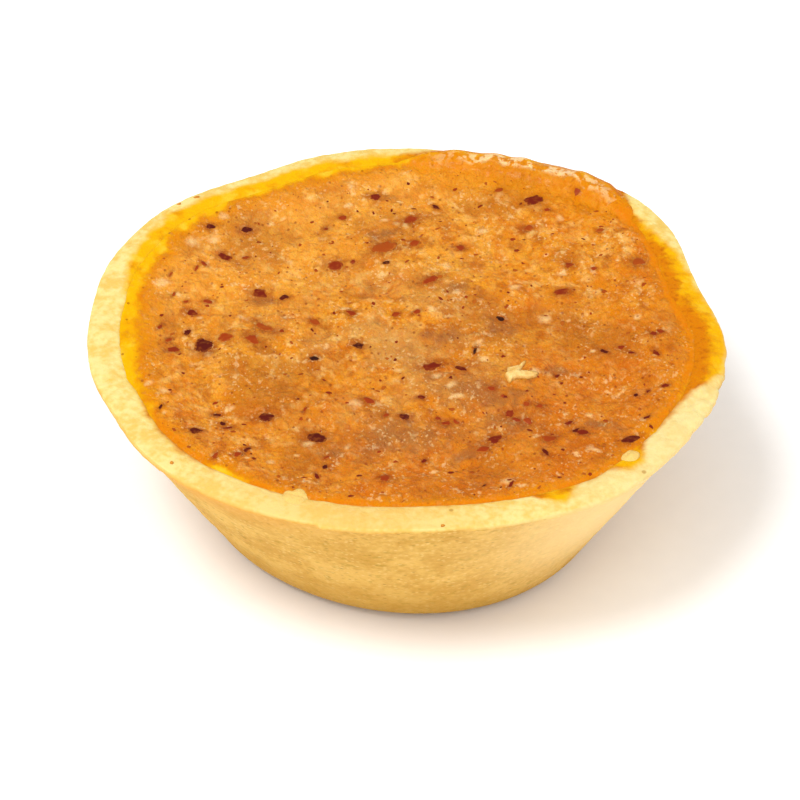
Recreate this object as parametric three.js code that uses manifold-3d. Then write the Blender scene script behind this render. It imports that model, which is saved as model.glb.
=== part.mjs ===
// An almond tartlet: a round shortcrust crust with straight sloping sides and a broad cut rim, filled to the
// rim with a grainy almond filling that has crept over the rim at the back right.
// Millimetres, +Z up, the front towards -Y. Angles run anticlockwise from +X, the right, in degrees.

import * as THREE from "three";
import { mergeVertices } from "three/addons/utils/BufferGeometryUtils.js";
import Module from "manifold-3d";

// Crust
const RIM_RADIUS = 37.4; // outer edge of the rim, before its swells and flats
const HEIGHT = 24.8; // from the base to the edges of the rim
const BASE_RADIUS = 23; // where the line of the wall meets the base
const BASE_ROUNDING = 4; // radius of the rounded lower edge
const RIM_WIDTH = 4; // pastry across the cut rim, and level through the wall
const FLOOR = 4; // pastry under the filling
const CAVITY_ROUNDING = 3; // radius where the inner wall meets the floor
const RIM_CROWN = 0.25; // how far the middle of the rim stands above its edges
const RIM_DIP = 0.3; // how much lower the rim is where the filling spills over it
const RIM_EASING = 0.7; // how far the rim's inner edge is worn round
const LIP_DEPTH = 0.9; // height of the pressed edge round the top of the wall
const LIP_LEAST = 0.15; // how far that edge stands out where it is worn
const LIP_MOST = 0.45; // and where it is whole
const LIP_WHOLE = { at: 277, spread: 22 }; // the stretch where it is whole

// Where the rim departs from a circle: each swell's angle, spread and distance outward, inward where negative.
const RIM_SWELLS = [
  { at: 14, spread: 15, by: -1.9 },
  { at: 46, spread: 16, by: 1.3 },
  { at: 121, spread: 10, by: -0.8 },
  { at: 144, spread: 13, by: 0.9 },
  { at: 161, spread: 9, by: 0.5 },
  { at: 205, spread: 8, by: -0.35 },
  { at: 224, spread: 12, by: 0.4 },
  { at: 270, spread: 20, by: -1.1 },
  { at: 308, spread: 11, by: 0.75 },
];
const SWELL_FADE = 3; // power by which the swells die away towards the base
const BASE_WOBBLE = 0.45; // how far the base is out of round
const BASE_LOBES = 3;
const BASE_LOBE_ANGLE = 60; // where the first lobe stands out

// Filling
const GAP = 0.35; // clear space between filling and crust
const SINK = 0.9; // how far the filling lies below the rim, on average
const LEAN = 0.45; // how much higher it stands at the back right, and lower at the front left
const LEAN_ANGLE = 45;
const MENISCUS = 0.7; // how far it climbs the wall
const MENISCUS_FROM = 0.88; // share of the way out where it starts to
const EDGE_DEPTH = 0.5; // height of its edge
const EDGE_EASING = 0.2; // how far that edge is rounded back
const OVERFLOWS = [
  { at: 20, spread: 26, by: 0.35 },
  { at: 56, spread: 12, by: 0.8 },
  { at: 74, spread: 14, by: 0.9 },
];
const OVERFLOW_FROM = 0.8; // share of the way out where the top starts to rise to the rim
const OVERFLOW_CLIMB = 0.45; // by this much overflow it has climbed to the rim, and beyond that it runs out
const OVERFLOW_DEPTH = 0.6; // filling lying on the rim
const OVERFLOW_REACH = 3.7; // how far over the rim it reaches
const OVERFLOW_HUMP = 0.3; // height of the humps along it
const OVERFLOW_HUMP_PITCH = 8; // degrees from hump to hump
const MOUNDS = [
  { length: 23, turn: 25, height: 0.22 },
  { length: 15, turn: 110, height: 0.14 },
  { length: 9.5, turn: 70, height: 0.1 },
];

// The largest flecks of almond skin, which stand out of the filling
const FLECKS = 44;
const FLECK_LONGEST = 2.7;
const FLECK_SHORTEST = 1.3;
const FLECK_NARROWEST = 0.43; // width over length
const FLECK_WIDEST = 0.75;
const FLECK_THICKNESS = 0.7;
const FLECK_SPREAD = 0.9; // share of the filling's radius that they cover
const FLECK_TILT = 6; // degrees, either way
const FLECK_STRAY = 20; // degrees off the spiral that spreads them
const FLECK_SEED = 7;
const GOLDEN_ANGLE = 137.508;

// Facets
const SEGMENTS = 108;
const ROUNDING_STEPS = 3;
const WALL_STEPS = 5;
const TOP_STEPS = 11;

const wasm = await Module();
wasm.setup();

const { degToRad, lerp, clamp, smoothstep } = THREE.MathUtils;

/** A soft hump round the rim: 1 at the angle at, and near 0 two spreads away. */
function hump(angle, { at, spread }) {
  const away = THREE.MathUtils.euclideanModulo(angle - at + 180, 360) - 180;
  return Math.exp(-((away / spread) ** 2));
}

/** How fully the filling covers the rim at this angle, from 0 to 1. */
function overflow(angle) {
  return clamp(OVERFLOWS.reduce((sum, o) => sum + o.by * hump(angle, o), 0), 0, 1);
}

/** The height of the rim's edges at this angle. */
function rimHeight(angle) {
  return HEIGHT - RIM_DIP * overflow(angle);
}

/** How far the outline stands out of its circle at this angle and height. */
function swell(angle, height) {
  const rise = clamp(height / HEIGHT, 0, 1);
  const rim = RIM_SWELLS.reduce((sum, s) => sum + s.by * hump(angle, s), 0);
  const base = BASE_WOBBLE * Math.cos(degToRad(BASE_LOBES * (angle - BASE_LOBE_ANGLE)));
  return rim * rise ** SWELL_FADE + base * (1 - rise);
}

/** The outer wall's radius at this angle and height. */
function wallRadius(angle, height) {
  return lerp(BASE_RADIUS, RIM_RADIUS, height / HEIGHT) + swell(angle, height);
}

/** The inner wall's radius, level with the outer wall. */
function cavityRadius(angle, height) {
  return wallRadius(angle, height) - RIM_WIDTH;
}

/** Points of the arc that rounds the corner where a wall rises off a floor, from the floor to the wall. */
function roundedCorner(cornerRadius, floorHeight, rounding, inset) {
  const slope = Math.atan2(RIM_RADIUS - BASE_RADIUS, HEIGHT);
  const tangent = rounding * Math.tan((Math.PI / 2 - slope) / 2);
  const points = [];
  for (let i = 0; i <= ROUNDING_STEPS; i++) {
    const turn = lerp(-Math.PI / 2, -slope, i / ROUNDING_STEPS);
    const radius = cornerRadius - tangent + rounding * Math.cos(turn) - inset;
    points.push([radius, floorHeight + rounding * (1 + Math.sin(turn))]);
  }
  return points;
}

/** The crust's section at one angle: out along the base, up the wall, over the rim and down into the cavity. */
function crustSection(angle) {
  const lip = lerp(LIP_LEAST, LIP_MOST, hump(angle, LIP_WHOLE));
  const height = rimHeight(angle);
  const outer = wallRadius(angle, height);
  const inner = outer - RIM_WIDTH;
  const base = roundedCorner(BASE_RADIUS + swell(angle, 0), 0, BASE_ROUNDING, 0);
  const wallFoot = base.at(-1)[1];
  const wallHead = height - LIP_DEPTH;
  const wall = [];
  for (let i = 1; i <= WALL_STEPS; i++) {
    const level = lerp(wallFoot, wallHead, i / WALL_STEPS);
    wall.push([wallRadius(angle, level), level]);
  }
  const rim = [
    [outer + lip, height - LIP_DEPTH * 0.7],
    [outer + lip, height - LIP_DEPTH * 0.25],
    [outer + lip * 0.3, height],
    [lerp(outer, inner, 0.4), height + RIM_CROWN],
    [inner + RIM_EASING, height],
    [inner + RIM_EASING * 0.25, height - RIM_EASING * 0.6],
  ];
  const floorRadius = cavityRadius(angle, FLOOR);
  const cavity = roundedCorner(floorRadius, FLOOR, CAVITY_ROUNDING, 0).reverse();
  const innerWall = [];
  for (let i = 1; i < WALL_STEPS - 1; i++) {
    const level = lerp(height - RIM_EASING, cavity[0][1], i / (WALL_STEPS - 1));
    innerWall.push([cavityRadius(angle, level), level]);
  }
  return [[0, 0], ...base, ...wall, ...rim, ...innerWall, ...cavity, [0, FLOOR]];
}

/** The filling's low mounds at a point of its top. */
function mounds(x, y) {
  return MOUNDS.reduce((sum, { length, turn, height }) => {
    const along = x * Math.cos(degToRad(turn)) + y * Math.sin(degToRad(turn));
    return sum + height * Math.sin((2 * Math.PI * along) / length);
  }, 0);
}

/** The filling's top, share of the way from its middle to the inner wall. */
function fillingTop(angle, share) {
  const radius = share * cavityRadius(angle, HEIGHT);
  const x = radius * Math.cos(degToRad(angle));
  const y = radius * Math.sin(degToRad(angle));
  const lean = LEAN * share * Math.cos(degToRad(angle - LEAN_ANGLE));
  const climb = MENISCUS * smoothstep(share, MENISCUS_FROM, 1) * (1 - overflow(angle));
  return HEIGHT - SINK + lean + climb + mounds(x, y);
}

/** The filling's section at one angle: out along its floor, up the wall, over the rim if it spills, and its top. */
function fillingSection(angle) {
  const spill = overflow(angle);
  const lift = smoothstep(spill, 0, OVERFLOW_CLIMB);
  const run = OVERFLOW_REACH * smoothstep(spill, OVERFLOW_CLIMB, 1);
  const humps = OVERFLOW_HUMP * Math.cos((2 * Math.PI * angle) / OVERFLOW_HUMP_PITCH) * lift;
  const underside = rimHeight(angle) + RIM_CROWN + GAP;
  const edgeTop = lerp(fillingTop(angle, 1), underside + OVERFLOW_DEPTH, lift);
  const edgeFoot = lerp(fillingTop(angle, 1) - EDGE_DEPTH, underside, lift);

  const floor = roundedCorner(cavityRadius(angle, FLOOR), FLOOR + GAP, CAVITY_ROUNDING, GAP);
  const wallFoot = floor.at(-1)[1];
  const wallHead = HEIGHT - SINK - LEAN - RIM_EASING;
  const wall = [];
  for (let i = 1; i < WALL_STEPS; i++) {
    const level = lerp(wallFoot, wallHead, i / (WALL_STEPS - 1));
    wall.push([cavityRadius(angle, level) - GAP, level]);
  }
  const throat = cavityRadius(angle, Math.min(edgeFoot, rimHeight(angle))) - GAP;
  const edge = [
    [throat, edgeFoot],
    [throat + run, edgeFoot],
    [throat + run, lerp(edgeFoot, edgeTop + humps, 0.6)],
  ];
  const top = [];
  for (let i = 0; i < TOP_STEPS; i++) {
    const share = 1 - i / TOP_STEPS;
    const near = smoothstep(share, OVERFLOW_FROM, 1);
    const height = lerp(fillingTop(angle, share), edgeTop, near * lift);
    top.push([share * (throat - EDGE_EASING) + run * near, height + humps * near ** 3]);
  }
  return [[0, FLOOR + GAP], ...floor, ...wall, ...edge, ...top, [0, fillingTop(0, 0)]];
}

/** A solid turned about Z whose section changes with the angle. */
function turned(sectionAt) {
  const section = (angle) => sectionAt(angle).map(([radius, height]) => new THREE.Vector2(radius, height));
  const points = section(0);
  const geometry = new THREE.LatheGeometry(points, SEGMENTS);
  const position = geometry.getAttribute("position");
  for (let i = 0; i <= SEGMENTS; i++) {
    const angle = (360 * (i % SEGMENTS)) / SEGMENTS;
    section(angle).forEach(({ x: radius, y: height }, j) => {
      const x = radius * Math.cos(degToRad(angle));
      const y = radius * Math.sin(degToRad(angle));
      position.setXYZ(i * points.length + j, x, y, height);
    });
  }
  return solidOf(geometry);
}

/** A closed geometry as a manifold-3d solid. */
function solidOf(geometry) {
  geometry.deleteAttribute("normal");
  geometry.deleteAttribute("uv");
  const merged = mergeVertices(geometry);
  const vertProperties = merged.getAttribute("position").array;
  const triVerts = new Uint32Array(merged.index.array);
  return new wasm.Manifold(new wasm.Mesh({ numProp: 3, vertProperties, triVerts }));
}

/** A manifold-3d solid as a flat-shaded three.js geometry. */
function geometryOf(solid) {
  const { vertProperties, triVerts } = solid.getMesh();
  const geometry = new THREE.BufferGeometry();
  geometry.setAttribute("position", new THREE.BufferAttribute(vertProperties, 3));
  geometry.setIndex(new THREE.BufferAttribute(triVerts, 1));
  geometry.computeVertexNormals();
  return geometry;
}

/** Evenly spread numbers from 0 to 1 that are the same on every run. */
function seededDraw(seed) {
  let state = seed;
  return () => {
    state = (state * 16807) % 2147483647;
    return state / 2147483647;
  };
}

/** The filling with its largest flecks of almond skin fused to its top. */
function filling() {
  const draw = seededDraw(FLECK_SEED);
  let solid = turned(fillingSection);
  for (let k = 0; k < FLECKS; k++) {
    const share = FLECK_SPREAD * Math.sqrt((k + 0.5) / FLECKS);
    const angle = (k * GOLDEN_ANGLE + FLECK_STRAY * draw()) % 360;
    const length = lerp(FLECK_SHORTEST, FLECK_LONGEST, draw() ** 2);
    const width = length * lerp(FLECK_NARROWEST, FLECK_WIDEST, draw());
    const radius = share * (cavityRadius(angle, HEIGHT) - GAP);
    const fleck = new THREE.IcosahedronGeometry(0.5)
      .scale(length, width, FLECK_THICKNESS)
      .rotateX(degToRad(lerp(-FLECK_TILT, FLECK_TILT, draw())))
      .rotateZ(degToRad(360 * draw()))
      .translate(radius * Math.cos(degToRad(angle)), radius * Math.sin(degToRad(angle)), fillingTop(angle, share));
    solid = solid.add(solidOf(fleck));
  }
  return solid;
}

const pastryFinish = new THREE.MeshStandardMaterial({ color: 0xecc577, roughness: 0.75, metalness: 0 });
const fillingFinish = new THREE.MeshStandardMaterial({ color: 0xd68a3a, roughness: 0.4, metalness: 0 });

const crust = new THREE.Mesh(geometryOf(turned(crustSection)), pastryFinish);
crust.name = "pastry_crust";
const almondFilling = new THREE.Mesh(geometryOf(filling()), fillingFinish);
almondFilling.name = "almond_filling";

const tartlet = new THREE.Group();
tartlet.add(crust, almondFilling);

// The origin is the middle of the tartlet's box, on the surface that it stands on.
const box = new THREE.Box3().setFromObject(tartlet);
const middle = box.getCenter(new THREE.Vector3());
tartlet.position.set(-middle.x, -middle.y, -box.min.z);

export default tartlet;
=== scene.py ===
"""The looks of an almond tartlet: a baked shortcrust crust with a pale cut rim, and a moist almond
filling with flecks of almond skin and a few pastry crumbs. Forms are worked out in millimetres about
the crust's own upright axis, with angles in degrees anticlockwise from +X, the right, and are made in
metres in the solids' frame."""
import math

import bpy
import numpy as np
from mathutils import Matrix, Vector, noise


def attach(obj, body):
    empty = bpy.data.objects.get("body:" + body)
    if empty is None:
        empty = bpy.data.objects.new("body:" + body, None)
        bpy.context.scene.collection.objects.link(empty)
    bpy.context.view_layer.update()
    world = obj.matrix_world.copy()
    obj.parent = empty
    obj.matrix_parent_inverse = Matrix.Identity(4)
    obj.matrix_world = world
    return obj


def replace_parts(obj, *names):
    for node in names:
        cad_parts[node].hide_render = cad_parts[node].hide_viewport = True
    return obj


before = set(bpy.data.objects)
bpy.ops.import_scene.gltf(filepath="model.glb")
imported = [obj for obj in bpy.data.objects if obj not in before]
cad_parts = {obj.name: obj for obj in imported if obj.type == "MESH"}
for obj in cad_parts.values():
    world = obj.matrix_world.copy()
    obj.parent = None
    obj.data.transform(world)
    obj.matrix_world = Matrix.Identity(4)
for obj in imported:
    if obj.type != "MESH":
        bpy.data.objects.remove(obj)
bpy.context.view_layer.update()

MM = 0.001
crust_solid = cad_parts["pastry_crust"].data
ON_THE_BASE = 0.001 * MM
AXIS = np.mean([v.co for v in crust_solid.vertices if v.co.z < ON_THE_BASE], axis=0)

# The crust, to the sizes that its solid has
RIM_RADIUS = 37.4
HEIGHT = 24.8
BASE_RADIUS = 23.0
BASE_ROUNDING = 4.0
RIM_WIDTH = 4.0
FLOOR = 4.0
CAVITY_ROUNDING = 3.0
RIM_CROWN = 0.25
RIM_DIP = 0.3
RIM_SWELLS = (  # angle, spread, distance outward
    (14, 15, -1.9),
    (46, 16, 1.3),
    (121, 10, -0.8),
    (144, 13, 0.9),
    (161, 9, 0.5),
    (205, 8, -0.35),
    (224, 12, 0.4),
    (270, 20, -1.1),
    (308, 11, 0.75),
)
SWELL_FADE = 3
BASE_WOBBLE = 0.45
BASE_LOBES = 3
BASE_LOBE_ANGLE = 60

# The rim's pressed edge, and its slope down to the filling
LIP_DEPTH = 0.9
LIP_LEAST = 0.05
LIP_LEDGES = ((254.6, 20, 0.45), (282, 14, 0.15))  # starts at this angle, fades over, stands out by
LEDGE_START = 0.8  # degrees over which a ledge rises
LIP_FACE = 0.6  # share of the lip's depth that its upright face takes
EDGE_ROUNDING = 0.4
SLOPE_OUT = 0.5
SLOPE_IN = 0.4
SLOPE_FOOT = 0.5
FEATHER = 0.12
CRUMBLY_STRETCH = (339, 13)  # the broken part of the rim, at the right

# How far inside the rim's outer edge the crust's rows count as lying, which is negative down the wall
BASE_INSIDE = -30
FOOT_INSIDE = -28
WALL_RUN = 26
PAST_RIM = 1
CAVITY_INSIDE = 28
CAVITY_FLOOR_INSIDE = 30
FLAT_BEYOND = 27

# Relief of the crust: each layer's height, size, place in the noise and octaves, and where it lies
WALL_RELIEF = ((0.12, 9.0, 0, 3), (0.06, 2.4, 40, 3), (0.06, 0.9, 80, 2))
RIM_RELIEF = ((0.12, 5.0, 160, 3), (0.06, 1.5, 200, 3))
RIM_BEGINS = (-1.0, 0.5)
PIT_LAYER = (1.0, 1.6, 120, 2)
PIT_FLATTENING = (1, 1, 1.8)
PIT_FROM = 0.4
PIT_DEPTH = 0.2
LUMP_RISE = 0.5
LUMP_SIZE = 2.8
LUMP_SHIFT = 240
LUMP_RELIEF = (0.15, 1.0, 280, 2)
BROKEN_FROM = (-2.0, -0.4)
BROKEN_TO = (3.2, 1.8)

# Browner and paler sides of the crust: angle and spread, and where on the wall each comes in
WALL_TOAST = (226, 30)
WALL_TOAST_FADE = (-9, -1)
WALL_PALE = (318, 30)
WALL_PALE_FADE = (-34, -6)
RIM_TOAST = (262, 34)
RIM_TOAST_SHARE = 0.8
RIM_PALE = (322, 30)

# The filling, to the sizes that its solid has
SINK = 0.9
FILLING_TOP = HEIGHT - SINK
LEAN = 0.45
LEAN_ANGLE = 45
EDGE_ABOVE = 0.06
EDGE_FROM = 0.72
OVERFLOWS = ((20, 26, 0.35), (56, 12, 0.8), (74, 14, 0.9))  # angle, spread, share of the rim covered
MOUNDS = ((23, 25, 0.22), (15, 110, 0.14), (9.5, 70, 0.1))  # length, direction, height
MILKY_MIDDLE = (-1, -2)
MILKY_SPREAD = 15.0  # the paler middle
BAKE_ACROSS = 0.4  # baked deeper towards the right and the front
BAKE_DOWN = 0.6
STAIN_SPREAD = 2.2  # a fleck's stain, in lengths of the fleck
FAR_OFF = -2.0  # what counts as near no stroke at all

# Grain of the filling: each layer's height, size and place in the noise, and the soft layers' octaves
GRAIN_LAYERS = ((0.13, 1.9, 0), (0.07, 0.95, 30))
SOFT_RELIEF = ((0.14, 3.4, 60, 3), (0.05, 1.2, 90, 3))
GRAIN_SINK = 0.1
GRAIN_REACH = 0.75
CALM_GRAIN = 0.25
YOLK_CALM = (-0.8, 0.6)
MARGIN_CALM = (-0.6, 0.8)

# The filling below its edge: steps outward and down, then its foot on the cavity's wall and its underside
SKIRT = ((0.06, 0.15), (0.02, 0.45), (-0.5, 0.85), (-1.2, 1.2))
SKIRT_FOOT = 4
SKIRT_CLEAR = 0.1
UNDERSIDE = 1
UNDERSIDE_CORNER = 2
UNDERSIDE_CLEAR = 0.6

# How far the filling's feathered edge lies on the rim at each angle
OVERLAP = ((0, 1.0), (60, 1.0), (180, 1.0), (212, 0.7), (235, 0.35), (300, 0.35), (325, 0.7))

# Filling spilt over the rim: the share of the rim's width that it covers and its depth at each angle, its
# humps, and where a painted gleam lies along its crest
SPILL = (
    (0, 0.0), (26, 0.02), (33, 0.1), (39, 0.3), (45, 0.75), (50, 1.1), (54, 1.15), (60, 1.15), (66, 1.1),
    (74, 1.06), (80, 1.0), (85, 0.85), (90, 0.35), (97, 0.0),
)
SPILL_DEPTH = (
    (0, 0.05), (28, 0.02), (37, 0.04), (44, 0.12), (49, 0.4), (54, 0.8), (74, 0.75), (82, 0.55),
    (90, 0.2), (97, 0.05),
)
SPILL_CLIMB = (-1.4, 0.6)
SPILL_RUN = (0.4, 2.0)
SPILL_LEAST_RUN = 0.1
SPILT_SHARE = (0.2, 0.7)
SPILT_REACH = (7.0, 0.5)
SPILL_FRONT_SHARE = (0.5, 0.8)
SPILL_HUMPS = (
    (80.4, 2.2, 0.35), (72.7, 2.0, 0.45), (67.2, 2.2, 0.5), (61, 2.0, 0.1), (55.5, 1.6, 0.5),
    (48, 2.5, 0.15),
)
SPILL_PAINTED_GLEAM = ((40, 0.0), (53, 0.8), (60, 1.0), (74, 1.0), (88, 0.0))

# Egg-yolk film: the share of the rim's width that it covers, and how wide it is inside the filling's edge
YOLK_ON_RIM = (
    (0, 1.0), (13, 0.98), (20, 0.86), (25, 0.74), (30, 0.52), (35, 0.38), (40, 0.42), (44, 0.7),
    (47, 1.0), (84, 1.0), (88, 0.7), (95, 0.52), (105, 0.5), (113, 0.54), (123, 0.56), (132, 0.55),
    (138, 0.55), (142, 0.65), (147, 0.6), (154, 0.5), (160, 0.36), (167, 0.2), (174, 0.04), (183, -0.05),
    (195, -0.05), (203, 0.05), (210, 0.2), (228, 0.13), (240, 0.04), (291, 0.02), (293.5, 0.1),
    (295.5, 0.4), (297, 0.6), (298.6, 0.64), (300, 0.52), (301.6, 0.3), (304, 0.08), (310, 0.08),
    (311.5, 0.3), (313.5, 0.54), (316.5, 0.6), (318.5, 0.5), (320, 0.3), (322, 0.1), (330, 0.12),
    (336, 0.18), (340, 0.4), (343, 0.65), (346, 0.98), (352, 1.06), (356, 1.02),
)
YOLK_RING = (
    (0, -1.0), (30, -1.0), (60, -3.0), (88, -1.0), (95, 0.9), (110, 1.0), (130, 0.9), (140, 1.4),
    (150, 1.3), (160, 1.7), (168, 2.1), (176, 2.4), (190, 2.4), (200, 1.5), (208, 0.5), (215, -0.4),
    (226, -0.4), (230, 1.0), (235, 1.0), (240, -0.4), (300, -0.4), (310, -0.2), (335, 0.1), (345, -0.4),
)
CARAMEL_RING = (
    (0, 0.6), (18, 0.5), (27, 0.5), (40, 0.7), (47, -0.8), (84, -0.8), (95, 0.4), (120, 0.4), (135, 0.0),
    (200, 0.2), (212, 0.7), (234, 0.9), (245, 0.5), (290, 0.4), (305, 0.5), (330, 0.5), (345, 0.5),
)
FILM_LIMIT = -0.3
NO_FILM = -9
# How deep an orange the film on the rim is beside the filling, and how far out over the rim that fades
FILM_NEAR = 0.6
FILM_DEEPNESS = (
    (0, 0.9), (20, 0.75), (34, 0.5), (42, 0.7), (48, 0.9), (88, 0.9), (96, 0.15), (150, 0.0), (203, 0.1),
    (215, 0.8), (292, 0.9), (295, 0.35), (302, 0.35), (305, 0.8), (311, 0.7), (313, 0.2), (319, 0.2),
    (323, 0.7), (345, 1.0),
)
FILM_FADE = (
    (0, 3.5), (22, 3.0), (32, 1.7), (42, 2.5), (48, 20.0), (86, 20.0), (94, 2.0), (200, 1.5), (335, 2.0),
    (343, 3.6),
)

# The camera, to the photograph's view
CAMERA_PLACE = (0.0, -346.8, 286.7)
CAMERA_AIM = (-0.97, 0.0, 14.1)
CAMERA_LENS = 167.3
CAMERA_SENSOR = 36.0
PICTURE_SIZE = 800

# Flecks of almond skin that stand out in the photograph, read off it: pixel across and down,
# length in pixels, turn in degrees
FLECKS_BLACK = (
    (314, 358, 10, 0), (358, 344, 12, -25), (386, 265, 6, 40), (500, 319, 9, -30), (475, 351, 7, 70),
)
FLECKS_DARK = (
    (432, 365, 23, 6), (461, 370, 13, -30), (260, 293, 18, -8), (284, 296, 12, 20), (203, 344, 20, 12),
    (225, 257, 17, -24), (247, 232, 14, 14), (211, 232, 12, 10), (376, 200, 15, 4), (534, 205, 19, 14),
    (436, 208, 8, -40), (196, 435, 15, 4), (247, 450, 10, 40), (317, 437, 19, -10), (266, 416, 16, 14),
    (496, 439, 18, 14), (583, 434, 14, -28), (568, 424, 10, 14), (630, 446, 19, 22), (511, 490, 9, 65),
    (545, 455, 10, -50), (216, 412, 11, -10), (192, 312, 15, -10), (187, 331, 9, 50), (557, 376, 9, 4),
    (530, 430, 6, -30), (576, 431, 9, 20), (647, 423, 8, 20), (636, 398, 7, -55), (648, 395, 7, 60),
    (665, 391, 8, 10), (656, 357, 10, -60), (604, 352, 10, -20), (631, 355, 7, -25), (228, 426, 12, 10),
    (222, 421, 9, -20), (161, 413, 7, 55), (484, 490, 5, 50), (325, 467, 8, 30), (317, 479, 9, -75),
    (424, 458, 7, 60), (404, 415, 11, 10), (421, 396, 9, 5),
)
FLECKS_RED = (
    (430, 282, 20, 14), (226, 338, 15, -10), (315, 321, 13, -20), (343, 219, 9, 15), (335, 265, 19, -2),
    (460, 248, 12, 8), (414, 246, 13, 10), (396, 316, 10, 10), (416, 315, 9, 25), (561, 293, 16, 12),
    (499, 194, 11, 6), (264, 327, 21, -30), (252, 341, 16, -36), (305, 410, 8, 60), (351, 312, 14, -14),
    (370, 400, 12, -22), (384, 250, 24, 14), (528, 230, 13, -8), (638, 268, 15, 10), (549, 440, 16, 24),
    (484, 449, 14, 14), (385, 481, 14, -10), (174, 349, 12, 20), (238, 456, 9, 20), (215, 461, 10, 60),
    (246, 257, 8, 10), (410, 223, 16, 18), (660, 337, 9, -30), (386, 414, 7, 25), (207, 301, 11, -14),
    (204, 266, 8, -26), (197, 271, 6, 60), (326, 228, 7, 10), (353, 263, 6, 0), (547, 214, 7, 10),
    (600, 235, 8, 10), (577, 199, 6, 20), (569, 268, 9, 10), (594, 273, 7, -5), (653, 338, 9, -30),
    (621, 349, 9, 0), (510, 413, 12, 6), (540, 407, 9, -8), (528, 421, 10, -30), (516, 419, 10, -20),
    (491, 391, 9, 4), (503, 398, 5, 10), (527, 405, 8, 6), (160, 329, 7, 50), (169, 340, 8, 40),
    (186, 302, 5, 30), (171, 278, 6, 60), (174, 296, 6, 60), (446, 420, 12, 5), (456, 419, 8, -40),
    (438, 415, 6, -20), (327, 456, 7, 30),
)
FLECK_KINDS = (  # flecks, tone from 0 for black, breadth for length as seen
    (FLECKS_BLACK, 0.0, 0.8),
    (FLECKS_DARK, 0.38, 0.52),
    (FLECKS_RED, 0.78, 0.52),
)
FLECK_BREADTHS = (0.75, 1.2)
FLECK_TONES = (-0.16, 0.16)
FLECK_RISE = 0.06
FLECK_CORNERS = (5, 8)
FLECK_STEPS = 4
FLECK_SPREAD = 1.15
CORNER_SHIFT = 0.32
CORNER_REACH = (0.7, 1.12)
ROUGHNESS = 0.06

# Skin's colours, each with the tones between which it comes in
SKIN_TONES = (
    (0.0, 0.3, "#4A0E05"),
    (0.25, 0.55, "#6C1A06"),
    (0.5, 0.8, "#8C3008"),
    (0.75, 1.15, "#A0500F"),
    (1.2, 1.5, "#BE7C2A"),
)

# Specks on the rim, with their breadth in pixels before the turn, and finer flecks strewn by chance
FLECKS_ON_RIM = ((179, 205, 5, 4, 0), (197, 198, 6, 4, 20), (172, 464, 4, 3, 10), (443, 526, 4, 3, 30))
RIM_SPECK_RISE = 0.12
RIM_SPECK_TONE = 1.5
STRAY_FLECKS = 520
STRAY_SEED = 11
STRAY_CLEAR = 0.3
STRAY_LENGTHS = (0.2, 0.9)
STRAY_SKEW = 2.2
STRAY_SLIMNESS = (0.4, 0.9)
STRAY_TONES = (0.4, 1.15)
STRAY_RISE = 0.03

# Layers of flecks and crumbs: each one's share of the outline's size, and its share of the rise or, where
# negative, the depth that it is sunk to
FINE_LAYERS = ((0.9, -0.12), (1.0, -0.01), (0.84, 0.35), (0.62, 0.7), (0.32, 0.95))
PLAIN_LAYERS = ((0.85, -0.1), (1.0, -0.01), (0.6, 0.8))
CRUMB_LAYERS = ((0.95, -0.12), (1.0, 0.05), (0.9, 0.45), (0.78, 0.7), (0.55, 0.9), (0.3, 1.0))
CRUMB_RISE = 0.45
RIM_CRUMB_LAYERS = (
    (1.1, -0.12), (1.0, 0.0), (0.86, 0.26), (0.7, 0.55), (0.52, 0.8), (0.32, 0.95), (0.15, 1.0),
)
RIM_CRUMB_RISE = 0.3
RIM_CRUMB_SMOOTHING = 3
RIM_CRUMB_LUMPS = 0.1
BRANCHED_CRUMB_LUMPS = 0.2
CRUMB_SIDE_SHARES = (0, 0.33, 0.67)
CRUMB_LEAST_LUMPS = 0.05
CRUMB_LUMP_SIZE = 0.9

# Pale bits of almond that show through the filling: pixel across and down, length and breadth in pixels,
# turn in degrees; and those strewn by chance
PALE_BITS = (
    (193, 246, 17, 10, -8), (214, 242, 16, 10, 10), (162, 287, 18, 12, 30), (135, 268, 11, 7, -50),
    (224, 222, 12, 8, 10), (231, 405, 14, 6, 14), (150, 388, 12, 7, 40), (243, 317, 14, 6, -20),
    (437, 376, 14, 7, 15), (385, 224, 12, 5, 5), (561, 275, 14, 6, 4), (515, 288, 16, 8, -10),
    (447, 268, 14, 6, 10), (345, 307, 16, 4, -10),
)
STRAY_BITS = 70
BIT_CLEAR = 1.0
BIT_LENGTHS = (0.6, 2.2)
BIT_SKEW = 1.5
BIT_SLIMNESS = (0.5, 0.9)

# Grey-brown smudges in the filling, in the same way
SMUDGES = (
    (452, 291, 44, 16, -4), (440, 338, 46, 22, 10), (500, 328, 44, 22, 0), (432, 378, 32, 14, 20),
    (512, 420, 78, 28, -12), (470, 452, 56, 16, 18), (384, 236, 40, 14, 8), (262, 300, 40, 12, 0),
    (205, 352, 44, 14, 10), (560, 372, 46, 14, -6), (598, 428, 60, 18, -14), (330, 452, 40, 16, 0),
    (402, 434, 170, 52, 0), (486, 396, 120, 46, -8),
)

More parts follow.
